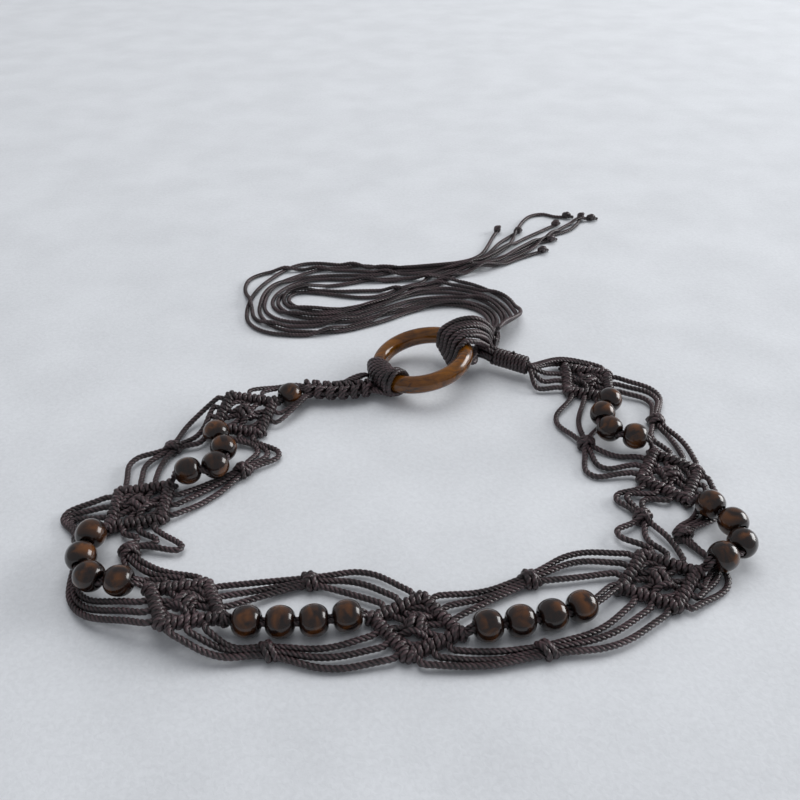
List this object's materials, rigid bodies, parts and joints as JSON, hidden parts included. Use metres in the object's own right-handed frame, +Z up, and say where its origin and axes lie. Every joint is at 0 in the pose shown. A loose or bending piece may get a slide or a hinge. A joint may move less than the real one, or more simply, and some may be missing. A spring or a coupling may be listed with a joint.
{
  "type": "macrame belt",
  "caption": "Knotted cord belt of pierced diamonds joined by strings of wooden beads, with a wooden ring to close it and long tie cords.",
  "frame": {"origin": "on the table under the middle of the belt's closed loop, the tie cords left out", "axes": "+Z up, +Y from the front of the loop towards the ring and the tie cords, +X to the right of one who looks along +Y"},
  "size_m": [0.2902, 0.3917, 0.0252],
  "materials": {
    "cord": "waxed, satin",
    "bead": "dark stained, polished",
    "ring": "lacquered"
  },
  "bodies": {
    "root": {"bead_1_1": "bead", "bead_1_2": "bead", "bead_1_3": "bead", "bead_1_4": "bead", "bead_2_1": "bead", "bead_2_2": "bead", "bead_2_3": "bead", "bead_2_4": "bead", "bead_3_1": "bead", "bead_3_2": "bead", "bead_3_3": "bead", "bead_3_4": "bead", "bead_4_1": "bead", "bead_4_2": "bead", "bead_4_3": "bead", "bead_4_4": "bead", "bead_5_1": "bead", "bead_5_2": "bead", "bead_5_3": "bead", "bead_5_4": "bead", "bead_6_1": "bead", "bead_6_2": "bead", "bead_6_3": "bead", "bead_6_4": "bead", "bead_cord_1": "cord", "bead_cord_2": "cord", "bead_cord_3": "cord", "bead_cord_4": "cord", "bead_cord_5": "cord", "bead_cord_6": "cord", "motif_1": "cord", "motif_2": "cord", "motif_3": "cord", "motif_4": "cord", "motif_5": "cord", "motif_6": "cord", "motif_7": "cord", "neck_bead": "bead", "neck_fan": "cord", "neck_wrap": "cord", "ring": "ring", "ring_hitch": "cord", "ring_wrap": "cord", "sennit": "cord", "strands_1_inner": "cord", "strands_1_outer": "cord", "strands_2_inner": "cord", "strands_2_outer": "cord", "strands_3_inner": "cord", "strands_3_outer": "cord", "strands_4_inner": "cord", "strands_4_outer": "cord", "strands_5_inner": "cord", "strands_5_outer": "cord", "strands_6_inner": "cord", "strands_6_outer": "cord", "tie_cords_inner": "cord", "tie_cords_middle": "cord", "tie_cords_outer": "cord"}
  },
  "joints": []
}
